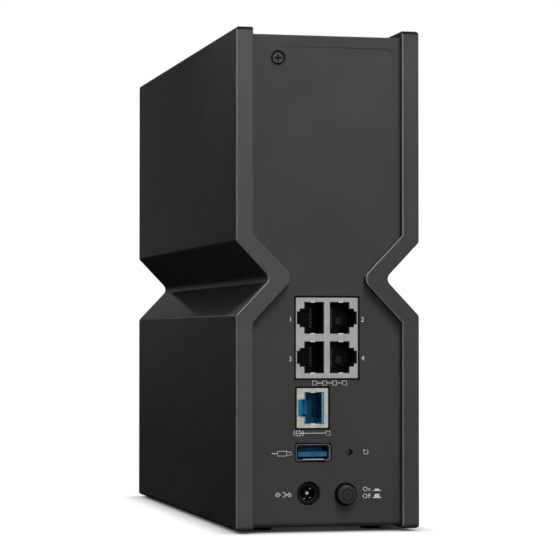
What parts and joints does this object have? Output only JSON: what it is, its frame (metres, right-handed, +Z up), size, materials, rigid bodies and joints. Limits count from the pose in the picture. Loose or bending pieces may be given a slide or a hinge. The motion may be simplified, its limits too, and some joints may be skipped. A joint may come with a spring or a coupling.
{
  "type": "wireless router",
  "caption": "Upright wireless router with hourglass side shells, recessed rear panel with network, USB and power sockets, vented top and rubber feet.",
  "frame": {"origin": "centre of the footprint, on the surface the feet rest on", "axes": "+Z up, +Y towards the socket side (rear), -Y towards the front, +X to the right as seen from the front"},
  "size_m": [0.076, 0.232, 0.2032],
  "materials": {
    "shell_plastic": "fine sparked grain, black",
    "panel_plastic": "fine sparked grain, black",
    "foot_rubber": "dull black",
    "screw_steel": "black zinc",
    "lens_plastic": "smoked, translucent",
    "circuit_board": "green solder mask",
    "led_resin": "clear",
    "carrier_plastic": "black",
    "sink_aluminium": "mill finish",
    "spring_steel": "bright",
    "chip_resin": "moulded black",
    "can_steel": "tinned",
    "pad_rubber": "soft silicone",
    "capacitor_aluminium": "sleeved",
    "shield_steel": "nickel plated",
    "socket_plastic": "black",
    "blue_plastic": "blue",
    "contact_gold": "gold flash",
    "plated_steel": "nickel plated",
    "switch_plastic": "dark grey",
    "button_plastic": "satin black",
    "lead_sleeve": "black"
  },
  "bodies": {
    "housing": {"right_side_shell": "shell_plastic", "left_side_shell": "shell_plastic", "rear_panel": "panel_plastic", "front_panel": "panel_plastic", "top_grille": "panel_plastic", "bottom_base": "panel_plastic", "rubber_feet": "foot_rubber", "rear_panel_screw": "screw_steel", "status_light_lens": "lens_plastic", "light_board": "circuit_board", "light_leds": "led_resin", "board_carrier": "carrier_plastic", "main_board": "circuit_board", "heat_sink": "sink_aluminium", "heat_sink_clips": "spring_steel", "heat_spreaders": "sink_aluminium", "processor_and_memory": "chip_resin", "radio_shield_cans": "can_steel", "thermal_pads": "pad_rubber", "spreader_pads": "pad_rubber", "power_components": "capacitor_aluminium", "line_transformers": "chip_resin", "lan_jack_shield": "shield_steel", "lan_jack_insert": "socket_plastic", "lan_jack_contacts": "contact_gold", "wan_jack_shield": "shield_steel", "wan_jack_insert": "blue_plastic", "wan_jack_contacts": "contact_gold", "usb_shell": "plated_steel", "usb_tongue": "blue_plastic", "usb_contacts": "contact_gold", "dc_jack_body": "socket_plastic", "dc_jack_pin": "plated_steel", "switch_board": "circuit_board", "board_spacers": "contact_gold", "power_switch": "socket_plastic", "reset_switch": "socket_plastic", "side_button_board": "circuit_board", "side_switches": "socket_plastic", "front_antenna_bracket": "carrier_plastic", "front_antennas": "circuit_board", "rear_antenna_bracket": "carrier_plastic", "rear_antennas": "circuit_board", "antenna_leads": "lead_sleeve", "antenna_plugs": "contact_gold"},
    "power_press": {"power_button": "button_plastic", "power_switch_stem": "switch_plastic"},
    "reset_press": {"reset_button": "switch_plastic"},
    "pairing_press": {"pairing_button": "button_plastic"},
    "light_press": {"light_button": "button_plastic"}
  },
  "joints": [
    {"name": "power_push", "type": "slide", "parent": "housing", "child": "power_press", "axis": [0, -1, 0], "range_m": [0, 0.0018], "stiffness_N_per_m": 800},
    {"name": "reset_push", "type": "slide", "parent": "housing", "child": "reset_press", "axis": [0, -1, 0], "range_m": [0, 0.0003], "stiffness_N_per_m": 500},
    {"name": "pairing_push", "type": "slide", "parent": "housing", "child": "pairing_press", "axis": [1, 0, 0], "range_m": [0, 0.0005], "stiffness_N_per_m": 500},
    {"name": "light_push", "type": "slide", "parent": "housing", "child": "light_press", "axis": [1, 0, 0], "range_m": [0, 0.0005], "stiffness_N_per_m": 500}
  ]
}
